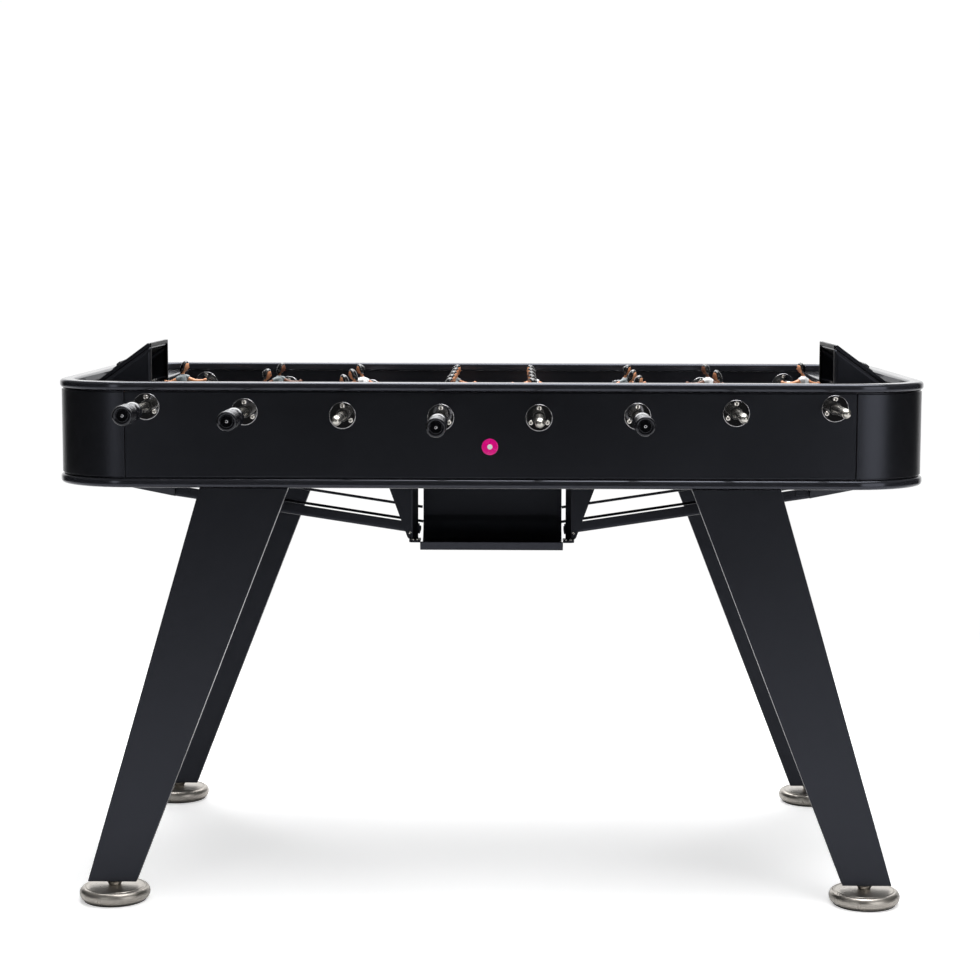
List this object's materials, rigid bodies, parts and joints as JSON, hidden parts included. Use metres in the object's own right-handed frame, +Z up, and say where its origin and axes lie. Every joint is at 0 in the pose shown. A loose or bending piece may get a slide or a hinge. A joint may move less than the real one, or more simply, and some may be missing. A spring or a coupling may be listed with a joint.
{
  "type": "foosball table",
  "caption": "Foosball table with a rounded black steel cabinet, sliding and spinning player rods, goal housings, a central ball tray fed by open chutes and splayed legs on levelling feet.",
  "frame": {"origin": "on the floor, under the middle of the cabinet", "axes": "+X along the pitch towards the white team's goal, -Y towards the front with the ball tray's lip, +Z up"},
  "size_m": [1.506, 1.204, 0.956],
  "materials": {
    "powder_coat": "satin",
    "rim_coat": "gloss",
    "field_laminate": "satin",
    "rod_steel": "polished",
    "foot_steel": "satin",
    "grip_black": "gloss",
    "grey_team": "satin",
    "white_team": "satin",
    "bearing_black": "gloss",
    "screw_steel": "polished",
    "rubber_black": "matte",
    "badge_pink": "gloss",
    "counter_grey": "satin"
  },
  "bodies": {
    "cabinet": {"front_panel": "powder_coat", "rear_panel": "powder_coat", "left_end_panel": "powder_coat", "right_end_panel": "powder_coat", "top_rim": "rim_coat", "bottom_rim": "rim_coat", "playing_field": "field_laminate", "left_goal_housing": "powder_coat", "right_goal_housing": "powder_coat", "ball_tray": "powder_coat", "left_tray_bracket": "powder_coat", "right_tray_bracket": "powder_coat", "left_ball_chute": "powder_coat", "right_ball_chute": "powder_coat", "front_left_leg": "powder_coat", "front_right_leg": "powder_coat", "rear_left_leg": "powder_coat", "rear_right_leg": "powder_coat"},
    "rod_1": {"rod_1": "rod_steel"},
    "players_1": {"handle_1": "grip_black", "player_1_1": "grey_team"},
    "rod_2": {"rod_2": "rod_steel"},
    "players_2": {"handle_2": "grip_black", "player_2_1": "grey_team", "player_2_2": "grey_team"},
    "rod_3": {"rod_3": "rod_steel"},
    "players_3": {"handle_3": "grip_black", "player_3_1": "white_team", "player_3_2": "white_team", "player_3_3": "white_team"},
    "rod_4": {"rod_4": "rod_steel"},
    "players_4": {"handle_4": "grip_black", "player_4_1": "grey_team", "player_4_2": "grey_team", "player_4_3": "grey_team", "player_4_4": "grey_team", "player_4_5": "grey_team"},
    "rod_5": {"rod_5": "rod_steel"},
    "players_5": {"handle_5": "grip_black", "player_5_1": "white_team", "player_5_2": "white_team", "player_5_3": "white_team", "player_5_4": "white_team", "player_5_5": "white_team"},
    "rod_6": {"rod_6": "rod_steel"},
    "players_6": {"handle_6": "grip_black", "player_6_1": "grey_team", "player_6_2": "grey_team", "player_6_3": "grey_team"},
    "rod_7": {"rod_7": "rod_steel"},
    "players_7": {"handle_7": "grip_black", "player_7_1": "white_team", "player_7_2": "white_team"},
    "rod_8": {"rod_8": "rod_steel"},
    "players_8": {"handle_8": "grip_black", "player_8_1": "white_team"},
    "front_left_foot": {"front_left_foot": "foot_steel"},
    "front_right_foot": {"front_right_foot": "foot_steel"},
    "rear_left_foot": {"rear_left_foot": "foot_steel"},
    "rear_right_foot": {"rear_right_foot": "foot_steel"}
  },
  "joints": [
    {"name": "rod_1_slide", "type": "slide", "parent": "cabinet", "child": "rod_1", "axis": [0, 1, 0], "range_m": [-0.07, 0.07]},
    {"name": "rod_1_spin", "type": "hinge", "parent": "rod_1", "child": "players_1", "pos_m": [-0.58275, 0, 0.85839], "axis": [0, 1, 0], "continuous": true},
    {"name": "rod_2_slide", "type": "slide", "parent": "cabinet", "child": "rod_2", "axis": [0, 1, 0], "range_m": [-0.108, 0.108]},
    {"name": "rod_2_spin", "type": "hinge", "parent": "rod_2", "child": "players_2", "pos_m": [-0.41625, 0, 0.84987], "axis": [0, 1, 0], "continuous": true},
    {"name": "rod_3_slide", "type": "slide", "parent": "cabinet", "child": "rod_3", "axis": [0, 1, 0], "range_m": [-0.108, 0.108]},
    {"name": "rod_3_spin", "type": "hinge", "parent": "rod_3", "child": "players_3", "pos_m": [-0.24975, 0, 0.84419], "axis": [0, 1, 0], "continuous": true},
    {"name": "rod_4_slide", "type": "slide", "parent": "cabinet", "child": "rod_4", "axis": [0, 1, 0], "range_m": [-0.085, 0.085]},
    {"name": "rod_4_spin", "type": "hinge", "parent": "rod_4", "child": "players_4", "pos_m": [-0.08325, 0, 0.84135], "axis": [0, 1, 0], "continuous": true},
    {"name": "rod_5_slide", "type": "slide", "parent": "cabinet", "child": "rod_5", "axis": [0, 1, 0], "range_m": [-0.085, 0.085]},
    {"name": "rod_5_spin", "type": "hinge", "parent": "rod_5", "child": "players_5", "pos_m": [0.08325, 0, 0.84135], "axis": [0, 1, 0], "continuous": true},
    {"name": "rod_6_slide", "type": "slide", "parent": "cabinet", "child": "rod_6", "axis": [0, 1, 0], "range_m": [-0.108, 0.108]},
    {"name": "rod_6_spin", "type": "hinge", "parent": "rod_6", "child": "players_6", "pos_m": [0.24975, 0, 0.84419], "axis": [0, 1, 0], "continuous": true},
    {"name": "rod_7_slide", "type": "slide", "parent": "cabinet", "child": "rod_7", "axis": [0, 1, 0], "range_m": [-0.108, 0.108]},
    {"name": "rod_7_spin", "type": "hinge", "parent": "rod_7", "child": "players_7", "pos_m": [0.41625, 0, 0.84987], "axis": [0, 1, 0], "continuous": true},
    {"name": "rod_8_slide", "type": "slide", "parent": "cabinet", "child": "rod_8", "axis": [0, 1, 0], "range_m": [-0.07, 0.07]},
    {"name": "rod_8_spin", "type": "hinge", "parent": "rod_8", "child": "players_8", "pos_m": [0.58275, 0, 0.85839], "axis": [0, 1, 0], "continuous": true},
    {"name": "front_left_foot_screw", "type": "slide", "parent": "cabinet", "child": "front_left_foot", "axis": [0, 0, -1], "range_m": [0, 0.015]},
    {"name": "front_right_foot_screw", "type": "slide", "parent": "cabinet", "child": "front_right_foot", "axis": [0, 0, -1], "range_m": [0, 0.015]},
    {"name": "rear_left_foot_screw", "type": "slide", "parent": "cabinet", "child": "rear_left_foot", "axis": [0, 0, -1], "range_m": [0, 0.015]},
    {"name": "rear_right_foot_screw", "type": "slide", "parent": "cabinet", "child": "rear_right_foot", "axis": [0, 0, -1], "range_m": [0, 0.015]}
  ]
}
